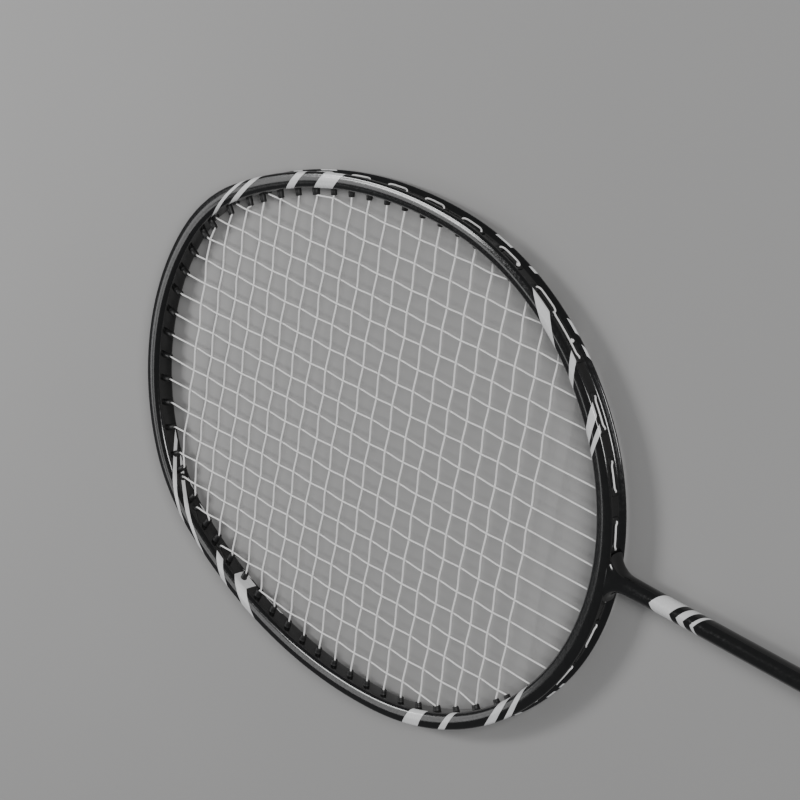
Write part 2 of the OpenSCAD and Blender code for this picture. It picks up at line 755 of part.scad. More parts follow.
frame_hoop();
throat_joint();
t_connector();
shaft_tube();
cone_cap();
handle_core();
butt_cap();
butt_disc();
cap_staples();
base_grip();
grip_tack();
finish_tape();
main_string();
cross_string();
main_knots();
cross_knots();
tip_grommets();
right_grommets();
left_grommets();
throat_grommets();
shared_grommets();
centre_grommet();
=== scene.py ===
"""The looks of a badminton racket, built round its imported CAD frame.

Lengths are in millimetres and become metres when a mesh is made. The camera and the lights are
placed in metres. A heading is a place on the hoop, given by the direction it faces: 0 at the tip
and 180 at the throat.
"""
import math

import bmesh
import bpy
import numpy as np
from mathutils import Matrix, Vector


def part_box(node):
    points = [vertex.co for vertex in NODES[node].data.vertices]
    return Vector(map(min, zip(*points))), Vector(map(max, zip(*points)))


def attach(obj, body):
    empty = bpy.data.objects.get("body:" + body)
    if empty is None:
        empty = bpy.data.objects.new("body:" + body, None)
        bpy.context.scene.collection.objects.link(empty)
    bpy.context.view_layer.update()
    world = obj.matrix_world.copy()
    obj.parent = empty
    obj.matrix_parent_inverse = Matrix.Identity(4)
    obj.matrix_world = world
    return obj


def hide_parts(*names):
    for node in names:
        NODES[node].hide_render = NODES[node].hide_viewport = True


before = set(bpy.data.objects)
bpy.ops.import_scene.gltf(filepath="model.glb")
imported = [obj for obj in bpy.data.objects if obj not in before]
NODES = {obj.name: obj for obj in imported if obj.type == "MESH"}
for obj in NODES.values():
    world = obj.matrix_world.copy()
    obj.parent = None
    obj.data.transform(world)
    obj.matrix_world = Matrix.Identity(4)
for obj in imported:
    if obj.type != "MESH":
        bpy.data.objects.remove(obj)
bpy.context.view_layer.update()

MM = 0.001


def node_box(name):
    """A CAD node's box in millimetres, as (low, high)."""
    low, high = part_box(name)
    return np.array(low) / MM, np.array(high) / MM


hoop_low, hoop_high = node_box("frame_hoop")
shaft_low, shaft_high = node_box("shaft_tube")
grip_low, grip_high = node_box("base_grip")
tape_low, tape_high = node_box("finish_tape")
cone_low, cone_high = node_box("cone_cap")
cap_low, cap_high = node_box("butt_cap")
disc_low, disc_high = node_box("butt_disc")
WRAP_PITCH = 23.0


def share_of(value, low, high):
    """How far value has gone from low to high, held between 0 and 1."""
    return min(1.0, max(0.0, (value - low) / (high - low)))


def eased(share):
    """A share with a smooth start and end."""
    return share * share * (3 - 2 * share)


# ---- materials ------------------------------------------------------------
class Shade:
    """A small helper that builds one node material."""

    def __init__(self, name):
        self.material = bpy.data.materials.new(name)
        self.material.use_nodes = True
        self.tree = self.material.node_tree
        self.tree.nodes.clear()
        self.out = self.tree.nodes.new("ShaderNodeOutputMaterial")
        self.bsdf = self.tree.nodes.new("ShaderNodeBsdfPrincipled")
        self.tree.links.new(self.bsdf.outputs[0], self.out.inputs["Surface"])
        self.coords = None

    def put(self, socket, value):
        """Links or sets one input of the surface shader."""
        self.feed(self.bsdf.inputs[socket], value)
        return self

    def feed(self, socket, value):
        """Links another node's output to a socket, or sets the socket's own value."""
        if isinstance(value, bpy.types.NodeSocket):
            self.tree.links.new(value, socket)
        elif isinstance(value, (tuple, list)) and len(value) == 3 and socket.type == "RGBA":
            socket.default_value = (*value, 1)
        else:
            socket.default_value = value

    def math(self, operation, a, b=0.0, clamp=False):
        n = self.tree.nodes.new("ShaderNodeMath")
        n.operation, n.use_clamp = operation, clamp
        self.feed(n.inputs[0], a)
        self.feed(n.inputs[1], b)
        return n.outputs[0]

    def place(self):
        """The point in the row frame, in millimetres."""
        if self.coords is None:
            here = self.tree.nodes.new("ShaderNodeTexCoord")
            scale = self.tree.nodes.new("ShaderNodeVectorMath")
            scale.operation = "SCALE"
            scale.inputs["Scale"].default_value = 1 / MM
            self.tree.links.new(here.outputs["Object"], scale.inputs[0])
            self.coords = scale.outputs[0]
        return self.coords

    def place_xyz(self):
        """The same point as three numbers."""
        n = self.tree.nodes.new("ShaderNodeSeparateXYZ")
        self.feed(n.inputs[0], self.place())
        return tuple(n.outputs)

    def stretched(self, factors):
        """The same point with each axis multiplied by its factor."""
        n = self.tree.nodes.new("ShaderNodeVectorMath")
        n.operation = "MULTIPLY"
        self.feed(n.inputs[0], self.place())
        n.inputs[1].default_value = factors
        return n.outputs[0]

    def attribute(self, name):
        n = self.tree.nodes.new("ShaderNodeAttribute")
        n.attribute_name = name
        return n.outputs["Fac"]

    def noise(self, scale, detail=4.0, vector=None, roughness=0.5):
        n = self.tree.nodes.new("ShaderNodeTexNoise")
        n.inputs["Scale"].default_value = scale
        n.inputs["Detail"].default_value = detail
        n.inputs["Roughness"].default_value = roughness
        self.feed(n.inputs["Vector"], vector or self.place())
        return n.outputs["Fac"]

    def voronoi(self, scale, feature="F1", vector=None):
        n = self.tree.nodes.new("ShaderNodeTexVoronoi")
        n.feature = feature
        n.inputs["Scale"].default_value = scale
        self.feed(n.inputs["Vector"], vector or self.place())
        return n.outputs["Distance"]

    def ramp(self, value, low, high, to_low=0.0, to_high=1.0):
        """A smooth step from to_low to to_high as value goes from low to high."""
        n = self.tree.nodes.new("ShaderNodeMapRange")
        n.interpolation_type = "SMOOTHSTEP"
        self.feed(n.inputs["Value"], value)
        n.inputs["From Min"].default_value, n.inputs["From Max"].default_value = low, high
        n.inputs["To Min"].default_value, n.inputs["To Max"].default_value = to_low, to_high
        return n.outputs["Result"]

    def mix(self, share, a, b):
        n = self.tree.nodes.new("ShaderNodeMix")
        n.data_type = "RGBA"
        self.feed(n.inputs["Factor"], share)
        self.feed(n.inputs["A"], a)
        self.feed(n.inputs["B"], b)
        return n.outputs["Result"]

    def bump(self, height, distance_mm, strength=1.0, onto=None):
        n = self.tree.nodes.new("ShaderNodeBump")
        n.inputs["Distance"].default_value = distance_mm * MM
        n.inputs["Strength"].default_value = strength
        self.feed(n.inputs["Height"], height)
        if onto is not None:
            self.feed(n.inputs["Normal"], onto)
        self.tree.links.new(n.outputs["Normal"], self.bsdf.inputs["Normal"])
        return n.outputs["Normal"]


def grey(level, warm=0.0):
    return (level * (1 + warm), level, level * (1 - warm))


def between(sh, value, low, high, soft):
    """1 where value lies from low to high, with soft edges."""
    rise = sh.ramp(value, low - soft, low + soft)
    fall = sh.ramp(value, high - soft, high + soft, 1.0, 0.0)
    return sh.math("MULTIPLY", rise, fall)


# Plain slanted bars on the hoop's faces. Each is: the place along the hoop, in mm from the
# tip, where the bar starts at the face's inner edge; its width; and its lean towards the throat
# for each mm across the face. The right-hand set is on +X in front and on -X behind.
RIGHT_BARS = [(67, 4, 3.2), (78.5, 5, 2.6), (111.4, 4.5, 1.3), (127, 10, 1.1),
              (252, 10.5, -1.95), (273.6, 4, -1.3), (292.5, 5, -1.3), (299.6, 2.8, -1.2)]
LEFT_BARS = [(60, 5, 2.8), (72.5, 5.5, 3.2), (99.5, 4.8, 1.4), (112.9, 8.4, 1.6),
             (217.5, 8, -0.7), (238, 3.5, -1.1), (266, 6, -1.8), (278, 4.5, -2.0)]
BAR_SOFT = 0.12
# the bar of each set that crosses the inner wall, and how many more lean on over it on -X
BROAD_BAR, LEANING_BARS = 3, 2
# distances round the section, from the inner wall's middle, to the face's edge and the wall's
FACE_EDGE, WALL_EDGE = 4.0, 2.6

# The shaft's bars and ring, each from and to these distances below the throat.
SHAFT_BARS, SHAFT_LEAN, SHAFT_SOFT = [(19, 28), (31, 34), (37, 38.5)], 7.0, 0.15
SHAFT_RING, SHAFT_RING_SOFT = (190, 192), 0.1


def lacquer(name, stripes):
    """Gloss black lacquer with orange peel and uneven gloss. stripes, where there are any,
    gives the share of white paint."""
    sh = Shade(name)
    base = sh.mix(sh.noise(0.35, 3), grey(0.004), grey(0.008))
    rough = sh.ramp(sh.noise(0.9, 5), 0.35, 0.75, 0.13, 0.24)
    peel = sh.noise(1.6, 2)
    if stripes is None:
        sh.bump(peel, 0.02, 0.35)
    else:
        paint = stripes(sh)
        white = sh.mix(sh.noise(7, 2), grey(0.66), grey(0.80))
        base = sh.mix(paint, base, white)
        rough = sh.math("ADD", rough, sh.math("MULTIPLY", paint, 0.10))
        sh.bump(sh.math("ADD", paint, sh.math("MULTIPLY", peel, 0.22)), 0.03, 0.5)
    sh.put("Base Color", base).put("Roughness", rough)
    sh.put("Coat Weight", 0.3).put("Coat Roughness", 0.06).put("IOR", 1.5)
    return sh.material


def bar_set(sh, along, over_edge, bars):
    """The share of paint of several bars that lean as they leave the edge."""
    total = None
    for start, width, lean in bars:
        place = sh.math("SUBTRACT", along, sh.math("MULTIPLY", over_edge, lean))
        bar = between(sh, place, start, start + width, BAR_SOFT)
        total = bar if total is None else sh.math("MAXIMUM", total, bar)
    return total


def choose(sh, share, a, b):
    """a where share is 0 and b where it is 1."""
    rest = sh.math("SUBTRACT", 1.0, share)
    return sh.math("ADD", sh.math("MULTIPLY", a, rest), sh.math("MULTIPLY", b, share))


def wall_bar(sh, along, bars):
    """The broad bar of a set, straight across the inner wall."""
    start, width, lean = bars[BROAD_BAR]
    low = start + lean * (WALL_EDGE - FACE_EDGE)
    return between(sh, along, low, low + width, BAR_SOFT)


def hoop_bars(sh):
    """The paint on the hoop's faces and inner wall. Its groove has none."""
    along, across = sh.attribute("along"), sh.attribute("across")
    x, _, z = sh.place_xyz()
    over_face = sh.math("SUBTRACT", across, FACE_EDGE)
    left, right = (bar_set(sh, along, over_face, bars) for bars in (LEFT_BARS, RIGHT_BARS))
    right_set = sh.math("GREATER_THAN", sh.math("MULTIPLY", x, z), 0.0)
    faces = choose(sh, right_set, left, right)
    leaning = bar_set(sh, along, sh.math("SUBTRACT", z, FACE_EDGE), LEFT_BARS[:LEANING_BARS])
    left_wall = sh.math("MAXIMUM", wall_bar(sh, along, LEFT_BARS), leaning)
    right_side = sh.math("GREATER_THAN", x, 0.0)
    wall = choose(sh, right_side, left_wall, wall_bar(sh, along, RIGHT_BARS))
    total = choose(sh, sh.math("LESS_THAN", across, WALL_EDGE), faces, wall)
    return sh.math("MULTIPLY", total, sh.math("GREATER_THAN", sh.attribute("skin"), 0.5))


def shaft_bars(sh):
    """Slanted bars round the shaft just below the throat, and a thin ring above the cone."""
    along, turn = sh.attribute("along"), sh.attribute("across")
    lean = sh.math("SUBTRACT", along, sh.math("MULTIPLY", turn, SHAFT_LEAN))
    total = between(sh, along, *SHAFT_RING, SHAFT_RING_SOFT)
    for start, end in SHAFT_BARS:
        total = sh.math("MAXIMUM", total, between(sh, lean, start, end, SHAFT_SOFT))
    return total


def plastic(name, level, rough, grain=1.2, depth=0.03, warm=0.0):
    """Moulded plastic with a fine spark-eroded grain."""
    sh = Shade(name)
    cells = sh.voronoi(grain * 2.2)
    cloud = sh.noise(grain * 0.15, 3)
    sh.put("Base Color", sh.mix(cloud, grey(level * 0.8, warm), grey(level * 1.25, warm)))
    sh.put("Roughness", sh.ramp(cloud, 0.3, 0.8, rough * 0.85, min(1.0, rough * 1.15)))
    sh.bump(sh.math("ADD", cells, sh.noise(grain * 3, 2)), depth, 0.5)
    return sh.material


def string_material():
    """White multifilament string, a little translucent, its wrap showing as a fine spiral."""
    sh = Shade("string_white")
    turn = sh.math("ARCTAN2", sh.attribute("turn_s"), sh.attribute("turn_c"))
    climb = sh.math("MULTIPLY", sh.attribute("along"), 9.0)
    wrap = sh.math("SINE", sh.math("ADD", climb, sh.math("MULTIPLY", turn, 2.0)))
    cloud = sh.noise(0.6, 3)
    sh.put("Base Color", sh.mix(cloud, grey(0.85, 0.01), grey(0.92, 0.01)))
    sh.put("Roughness", sh.ramp(cloud, 0.3, 0.8, 0.26, 0.4))
    sh.put("Subsurface Weight", 0.06).put("Subsurface Radius", (0.4 * MM,) * 3)
    sh.bump(wrap, 0.02, 0.5)
    return sh.material


def metal(name, level, rough):
    sh = Shade(name)
    brushed = sh.noise(2.4, 6, sh.stretched((1, 0.08, 1)))
    sh.put("Base Color", sh.mix(brushed, grey(level * 0.85), grey(level)))
    sh.put("Metallic", 1.0)
    sh.put("Roughness", sh.ramp(brushed, 0.2, 0.8, rough * 0.7, rough * 1.4))
    sh.bump(brushed, 0.01, 0.4)
    return sh.material


def wood():
    sh = Shade("handle_timber")
    rings = sh.noise(0.5, 8, sh.stretched((1, 0.05, 1)), 0.65)
    pores = sh.voronoi(2.5, vector=sh.stretched((1, 0.06, 1)))
    sh.put("Base Color", sh.mix(rings, (0.42, 0.25, 0.12), (0.70, 0.50, 0.30)))
    sh.put("Roughness", sh.ramp(pores, 0.1, 0.5, 0.75, 0.5))
    sh.bump(sh.math("ADD", rings, pores), 0.06, 0.5)
    return sh.material


HOLE_ROWS, HOLES_ROUND = 5, 18


def grip_material():
    """Tacky polyurethane wrap: soft sheen, fine leather-like crease, pressed rows of holes. The holes,
    and the step where each turn laps the last, are darkened with painted shade.
    """
    sh = Shade("grip_wrap_skin")
    crease = sh.voronoi(1.1, "DISTANCE_TO_EDGE")
    fine = sh.noise(3.5, 5)
    x, y, z = sh.place_xyz()
    turn = sh.math("DIVIDE", sh.math("ARCTAN2", z, x), math.tau)
    climb = sh.math("DIVIDE", sh.math("SUBTRACT", y, grip_low[1]), WRAP_PITCH)
    phase = sh.math("FRACT", sh.math("SUBTRACT", climb, turn))
    squares = []
    for value, count in ((phase, HOLE_ROWS), (turn, HOLES_ROUND)):
        cell = sh.math("SUBTRACT", sh.math("FRACT", sh.math("MULTIPLY", value, count)), 0.5)
        squares.append(sh.math("MULTIPLY", cell, cell))
    reach = sh.math("SQRT", sh.math("ADD", *squares))
    hole = sh.ramp(reach, 0.07, 0.12, 1.0, 0.0)
    # painted shade: a darker band in the groove at the start of each turn, where the wrap steps over
    # the last turn
    edge = sh.ramp(phase, 0.0, 0.05, 1.0, 0.0)
    worn = sh.noise(0.08, 4)
    base = sh.mix(worn, grey(0.020), grey(0.036))
    base = sh.mix(edge, base, grey(0.012))
    # painted shade: the holes are coloured near-black in place of the shade inside them
    sh.put("Base Color", sh.mix(hole, base, grey(0.004)))
    sh.put("Roughness", sh.ramp(worn, 0.3, 0.8, 0.5, 0.72))
    sh.put("Sheen Weight", 0.12).put("Sheen Roughness", 0.5)
    height = sh.math("ADD", sh.ramp(crease, 0.0, 0.22), sh.math("MULTIPLY", fine, 0.35))
    sh.bump(sh.math("SUBTRACT", height, sh.math("MULTIPLY", hole, 2.5)), 0.09, 0.7)
    return sh.material


LACQUER = lacquer("hoop_lacquer", hoop_bars)
THROAT_LACQUER = lacquer("throat_black_lacquer", None)
SHAFT_LACQUER = lacquer("shaft_black_lacquer", shaft_bars)
NYLON = plastic("grommet_black_nylon", 0.008, 0.55, 2.5, 0.02)
CONE = plastic("cone_moulded_black", 0.014, 0.32, 1.6, 0.02)
CAP = plastic("cap_moulded_black", 0.016, 0.5, 1.4, 0.04)
TAPE = plastic("finish_tape_vinyl", 0.012, 0.3, 0.8, 0.03)
STRING = string_material()
STEEL = metal("wire_steel", 0.62, 0.3)
ALUMINIUM = metal("connector_aluminium", 0.75, 0.32)
DISC = metal("disc_satin_metal", 0.66, 0.28)
TIMBER = wood()
GRIP = grip_material()


# ---- mesh helpers ---------------------------------------------------------
class Mesh:
    """Collects rings of points into one mesh. keys name the numbers its material reads."""

    def __init__(self, *keys):
        self.points, self.faces = [], []
        self.values = {key: [] for key in keys}

    def rings(self, rows, looped=False, **values):
        """Joins equally long rings. Looped ones close on the first, others are capped."""
        base, wide = len(self.points), len(rows[0])
        for row in rows:
            self.points.extend(np.asarray(row, float).tolist())
        for key, numbers in self.values.items():
            numbers.extend(np.asarray(values[key], float).ravel().tolist())
        for i in range(len(rows) if looped else len(rows) - 1):
            a, b = base + i * wide, base + (i + 1) % len(rows) * wide
            for j in range(wide):
                k = (j + 1) % wide
                self.faces.append((a + j, b + j, b + k, a + k))
        if not looped:
            top = base + (len(rows) - 1) * wide
            self.faces.append(tuple(base + j for j in range(wide)))
            self.faces.append(tuple(top + j for j in reversed(range(wide))))


def make(name, m, material, stands_for, crisp=None):
    """A piece from m, in place of these CAD nodes. Edges steeper than crisp stay sharp."""
    mesh = bpy.data.meshes.new(name)
    mesh.from_pydata((np.asarray(m.points, float) * MM).tolist(), [], m.faces)
    mesh.materials.append(material)
    for key, numbers in m.values.items():
        layer = mesh.attributes.new(key, "FLOAT", "POINT")
        layer.data.foreach_set("value", np.asarray(numbers, np.float32))
    mesh.validate()
    mesh.polygons.foreach_set("use_smooth", [True] * len(mesh.polygons))
    obj = bpy.data.objects.new(name, mesh)
    bpy.context.scene.collection.objects.link(obj)
    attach(obj, "root")
    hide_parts(*stands_for)
    fix_normals(obj)
    if crisp is not None:
        sharpen(obj, crisp)


def fix_normals(obj):
    """Turns every face outward."""
    bm = bmesh.new()
    bm.from_mesh(obj.data)
    bmesh.ops.recalc_face_normals(bm, faces=bm.faces)
    bm.to_mesh(obj.data)
    bm.free()


def sharpen(obj, degrees):
    """Keeps edges steeper than this crisp while the rest is smooth."""
    limit = math.radians(degrees)
    bm = bmesh.new()
    bm.from_mesh(obj.data)
    for e in bm.edges:
        if len(e.link_faces) == 2 and e.calc_face_angle(0) > limit:
            e.smooth = False
    bm.to_mesh(obj.data)
    bm.free()


def round_box(half_w, half_d, power, count=64):
    """A closed ring that runs from an ellipse (power 2) towards a box (higher powers)."""
    a = np.arange(count) * math.tau / count
    c, s = np.cos(a), np.sin(a)
    r = (np.abs(c) ** power + np.abs(s) ** power) ** (-1 / power)
    return np.c_[half_w * r * c, half_d * r * s]


def level(ring, y):
    """A flat ring as points at one height on the racket's length."""
    return np.c_[ring[:, 0], np.full(len(ring), y), ring[:, 1]]


# ---- hoop outline ---------------------------------------------------------
# The inner wall is a chain of arcs: their radii, and the headings where they meet.
FRAME_W, FRAME_H = 6.3, hoop_high[2] - hoop_low[2]
ARC_RADII = [92, 63, 175, 102]
ARC_ENDS = [0, 28, 58, 96, 148, 180]
ARCS = range(len(ARC_ENDS) - 1)


def normal_at(h):
    return np.array([math.sin(math.radians(h)), math.cos(math.radians(h))])


def chain_arcs():
    """Centres and radii. The last radius is the one that ends on the middle line."""
    centres, radii = [], []
    start = np.array([0.0, hoop_high[1] - FRAME_W])
    for i in ARCS:
        closing = i == len(ARC_RADII)
        r = start[0] / math.sin(math.radians(ARC_ENDS[i])) if closing else ARC_RADII[i]
        centre = start - r * normal_at(ARC_ENDS[i])
        centres.append(centre)
        radii.append(r)
        start = centre + r * normal_at(ARC_ENDS[i + 1])
    return centres, radii


CENTRES, RADII = chain_arcs()
THROAT_WALL = CENTRES[-1][1] - RADII[-1]
THROAT_OUTER = THROAT_WALL - FRAME_W


def arc_of(h):
    return sum(1 for end in ARC_ENDS[1:-1] if h > end)


def outline(h, n):
    """The point at heading h, n mm outside the hoop's inner wall, on the +X side."""
    i = arc_of(h)
    return CENTRES[i] + (RADII[i] + n) * normal_at(h)


def run_length(h):
    """Length along the hoop's middle from the tip to heading h."""
    total = 0.0
    for i in ARCS:
        turn = min(h, ARC_ENDS[i + 1]) - ARC_ENDS[i]
        if turn > 0:
            total += math.radians(turn) * (RADII[i] + FRAME_W / 2)
    return total


def heading_where(test_axis, value, n, tip_side=True):
    """Heading where the outline, n mm out, passes this x (axis 0) or y (axis 1)."""
    slack = 0.02
    for i in ARCS:
        s = (value - CENTRES[i][test_axis]) / (RADII[i] + n)
        if abs(s) > 1:
            continue
        h = math.degrees(math.asin(s) if test_axis == 0 else math.acos(s))
        if test_axis == 0 and not tip_side:
            h = 180 - h
        if ARC_ENDS[i] - slack <= h <= ARC_ENDS[i + 1] + slack:
            return h
    raise ValueError("the outline doesn't pass there")


GROWTH, GROWTH_SPAN = 1.3, (125, 170)


def growth_at(h):
    """How much deeper the section is at heading h, towards the strings."""
    return GROWTH * eased(share_of(h, *GROWTH_SPAN))


# ---- string layout --------------------------------------------------------
MAINS, CROSSES = 19, 21
MIDDLE, EVEN_MAINS = 10, 7
MAIN_PITCH, OUTER_PITCH, CROSS_PITCH, CROSS_START = 9.17, 9.75, 9.02, 35
STRING_R = 0.35
BARREL_R, BARREL_BORE = 1.2, 0.6
TIP_PROUD, SIDE_PROUD, FLUSH_PROUD = 3.2, 1.6, 0.5
SHARED_R, SHARED_BORE, SHARED_Z = 1.45, 1.05, 0.45
GROOVE_DEPTH, GROOVE_TOP, GROOVE_BOTTOM = 1.8, 6.6, 3.8
FLOOR_N = FRAME_W - GROOVE_DEPTH
LOOP_N, LOOP_Z = FLOOR_N + 1.0, 0.85
PROUD_FADE, FLUSH_FROM = (62, 98), 138
# the cross whose hole a main shares, with mains counted from their nearer side
TIP_SHARED = {1: 7}
THROAT_SHARED = {1: 18, 2: 20}
SHARED_CROSSES = (7, 18, 20)
# how far the first crosses' holes are turned, and the mains whose tip barrels are nearly flush
CORNER_SHIFT, FLUSH_MAINS = (3.4, 1.9, 0.9), (2, 3, 4)
CENTRE_HOLE_X = 6.0


def mirror_of(m):
    """Main m counted from its nearer side."""
    return min(m, MAINS + 1 - m)


def main_x(m):
    k = MIDDLE - m
    even, outer = min(abs(k), EVEN_MAINS), max(abs(k) - EVEN_MAINS, 0)
    return math.copysign(even * MAIN_PITCH + outer * OUTER_PITCH, k) if k else 0.0


def cross_y(c):
    return THROAT_WALL + CROSS_START + (CROSSES - c) * CROSS_PITCH


def proud_at(h):
    """How far a barrel's mouth stands inside the outline at heading h."""
    if h > FLUSH_FROM:
        return growth_at(h) + FLUSH_PROUD
    return TIP_PROUD + (SIDE_PROUD - TIP_PROUD) * share_of(h, *PROUD_FADE)


# A port is a string hole: side, heading, how far its mouth stands inside the outline, and the
# string's z.
def cross_port(c, side):
    proud = proud_at(heading_where(1, cross_y(c), -TIP_PROUD))
    shift = CORNER_SHIFT[c - 1] if c <= len(CORNER_SHIFT) else 0
    z = -SHARED_Z if c in SHARED_CROSSES else 0.0
    return (side, heading_where(1, cross_y(c), -proud) + shift, proud, z)


def right_port(c):
    return cross_port(c, 1)


def left_port(c):
    return cross_port(c, -1)


def partner_of(m, tip_side):
    """The cross whose hole main m shares at this end, or None."""
    return (TIP_SHARED if tip_side else THROAT_SHARED).get(mirror_of(m))


def main_port(m, tip_side):
    side = -1 if m > MIDDLE else 1
    if partner_of(m, tip_side):
        return cross_port(partner_of(m, tip_side), side)[:3] + (SHARED_Z,)
    x = abs(main_x(m))
    flush = tip_side and mirror_of(m) in FLUSH_MAINS
    proud = FLUSH_PROUD if flush else proud_at(heading_where(0, x, -TIP_PROUD, tip_side))
    return (side, heading_where(0, x, -proud, tip_side), proud, 0.0)


CENTRE_PORT = (-1, heading_where(0, CENTRE_HOLE_X, FLOOR_N, False), 0.0, 0.0)


def tip_port(m):
    return main_port(m, True)


def throat_port(m):
    """Main m's hole at the throat. The middle main's is slanted, to pass the shaft."""
    return CENTRE_PORT if m == MIDDLE else main_port(m, False)


def port_point(port, n):
    """Where the string of a port is, n mm outside the outline."""
    x, y = outline(port[1], n)
    return np.array([port[0] * x, y, port[3]])


def port_axes(port):
    """Unit vectors out through the hoop and along it, at a port."""
    d = normal_at(port[1])
    axis = np.array([port[0] * d[0], d[1], 0])
    return axis, np.array([-axis[1], axis[0], 0])


# ---- the camera -----------------------------------------------------------
# In metres, from where cross 21 passes the middle main.
CROSS_21 = Vector((0, cross_y(CROSSES), 0)) * MM
CAMERA_OFFSET = Vector((0.38865, -0.53812, 0.66882))
RIGHT = Vector((0.146, -0.6913, -0.7076))
UP = Vector((0.9151, 0.3662, -0.169))
LENS, SENSOR = 120.41, 36


def add_camera():
    camera = bpy.data.objects.new("camera", bpy.data.cameras.new("camera"))
    bpy.context.scene.collection.objects.link(camera)
    right = RIGHT.normalized()
    up = (UP - UP.dot(right) * right).normalized()
    turn = Matrix((right, up, right.cross(up))).transposed().to_4x4()
    camera.matrix_world = Matrix.Translation(CROSS_21 + CAMERA_OFFSET) @ turn
    camera.data.lens, camera.data.sensor_width = LENS, SENSOR
    camera.data.clip_start, camera.data.clip_end = 0.01, 50
    bpy.context.scene.camera = camera


# ---- hoop -----------------------------------------------------------------
RING_STEP, FEWEST_RINGS = 2.0, 4
WALL_TOP, WALL_BULGE, FACE_START, FACE_END, RIM_Z, CROWN = 2.6, 0.1, 2.3, 5.1, 3.5, 0.2
EDGE_DROP = 0.12
# The groove fades out over the last degree before it reaches the throat's moulding.
GROOVE_END_X = 4.2
GROOVE_STOP = 180 - math.degrees(math.asin(GROOVE_END_X / (RADII[-1] + FRAME_W)))


def half_section(groove, growth):
    """(n, z, on the skin) from the inner wall's middle round to the groove's middle."""
    crown = FRAME_H / 2 - CROWN
    face_start, face = FACE_START - growth, FACE_END - FACE_START + growth
    out = []
    for j in range(4):
        s = j / 4
        out.append((WALL_BULGE * s ** 2 - growth, WALL_TOP * s, 1))
    for j in range(9):
        a = math.pi / 2 * j / 8
        n = face_start - (FACE_START - WALL_BULGE) * math.cos(a)
        out.append((n, WALL_TOP + (crown - WALL_TOP) * math.sin(a), 1))
    for j in range(1, 6):
        s = j / 6
        out.append((face_start + face * s, crown + CROWN * math.sin(math.pi * s), 1))
    for j in range(8):
        a = math.pi / 2 * j / 7
        n = FACE_END + (FRAME_W - FACE_END) * math.sin(a)
        out.append((n, RIM_Z + (crown - RIM_Z) * math.cos(a), 1))
    depth, edge, foot = GROOVE_DEPTH * groove, GROOVE_TOP / 2, GROOVE_BOTTOM / 2
    out.append((FRAME_W - 0.03 * groove, edge, 1))
    out.append((FRAME_W - 0.22 * groove, edge - EDGE_DROP, 0.8))
    for s in (0.35, 0.7, 0.92):
        out.append((FRAME_W - depth * s, edge + (foot - edge) * s - EDGE_DROP * (1 - s), 0))
    out.append((FRAME_W - depth, foot - 0.25, 0))
    out.append((FRAME_W - depth, 0.8, 0))
    return out


def hoop_section(groove, growth):
    """The whole ring, and how far round it each point is from the inner wall's middle."""
    half = half_section(groove, growth)
    lower = [(n, -z, s) for n, z, s in reversed(half[1:])]
    gaps = np.diff(np.array(half)[:, :2], axis=0)
    steps = np.r_[0, np.cumsum(np.hypot(*gaps.T))]
    return np.array(half + lower), np.r_[steps, steps[:0:-1]]


def hoop_headings():
    """Headings of the rings down one side, at even steps along the hoop."""
    out = []
    for i in ARCS:
        turn = ARC_ENDS[i + 1] - ARC_ENDS[i]
        length = math.radians(turn) * (RADII[i] + FRAME_W / 2)
        steps = max(FEWEST_RINGS, round(length / RING_STEP))
        out += [ARC_ENDS[i] + turn * j / steps for j in range(steps)]
    return out


def build_hoop():
    right = hoop_headings()
    stations = [(1, h) for h in right] + [(1, 180)] + [(-1, h) for h in reversed(right[1:])]
    rows, along, across, skin = [], [], [], []
    for side, h in stations:
        ring, around = hoop_section(share_of(GROOVE_STOP - h, 0, 1), growth_at(h))
        xy = outline(h, 0) + ring[:, :1] * normal_at(h)
        rows.append(np.c_[side * xy[:, 0], xy[:, 1], ring[:, 1]])
        along.append(np.full(len(ring), run_length(h)))
        across.append(around)
        skin.append(ring[:, 2])
    m = Mesh("along", "across", "skin")
    m.rings(rows, looped=True, along=along, across=across, skin=skin)
    make("hoop", m, LACQUER, ["frame_hoop"])


# ---- throat and shaft -----------------------------------------------------
SHAFT_R = (shaft_high[0] - shaft_low[0]) / 2
SHAFT_TOP, SHAFT_FOOT = shaft_high[1], shaft_low[1]
SHAFT_SIDES, SHAFT_RINGS, SKIN = 72, 80, 0.01
FILLET, FILLET_STEPS, STEM_STEPS = 6.5, 26, 6
STEM_FLARE, FACE_INSET, THROAT_CRISP = 4, 0.32, 50


def build_throat():
    """The stem over the shaft's end, and the fillets that run from it into the hoop."""
    outer, middle = RADII[-1] + FRAME_W, CENTRES[-1][1]
    fillet_x = SHAFT_R + FILLET
    fillet_y = middle - math.sqrt((outer + FILLET) ** 2 - fillet_x ** 2)
    root_x = fillet_x * outer / (outer + FILLET)
    root_y = middle - math.sqrt(outer ** 2 - root_x ** 2)
    ys = [SHAFT_TOP + rise for rise in (-0.6, 0, 1.5, 3)]
    for j in range(-STEM_STEPS, FILLET_STEPS + 1):
        ys.append(fillet_y + (root_y - fillet_y) * (j / FILLET_STEPS))
    rows = []
    for y in ys:
        up = max(0.0, y - fillet_y)
        half_w = fillet_x - math.sqrt(max(0.0, FILLET ** 2 - up ** 2))
        ease = eased(share_of(y, fillet_y - STEM_FLARE, root_y))
        half_d = SHAFT_R + (FRAME_H / 2 - FACE_INSET - SHAFT_R) * ease
        sunk = 0.04 if y < SHAFT_TOP else SKIN
        rows.append(level(round_box(half_w - sunk, half_d - sunk, 2 + 1.1 * ease), y))
    # one smaller ring, hidden in the hoop
    rows.append(rows[-1] * (0.8, 1, 0.75) + (0, 2.5, 0))
    m = Mesh()
    m.rings(rows)
    make("throat_moulding", m, THROAT_LACQUER, ["throat_joint"], THROAT_CRISP)


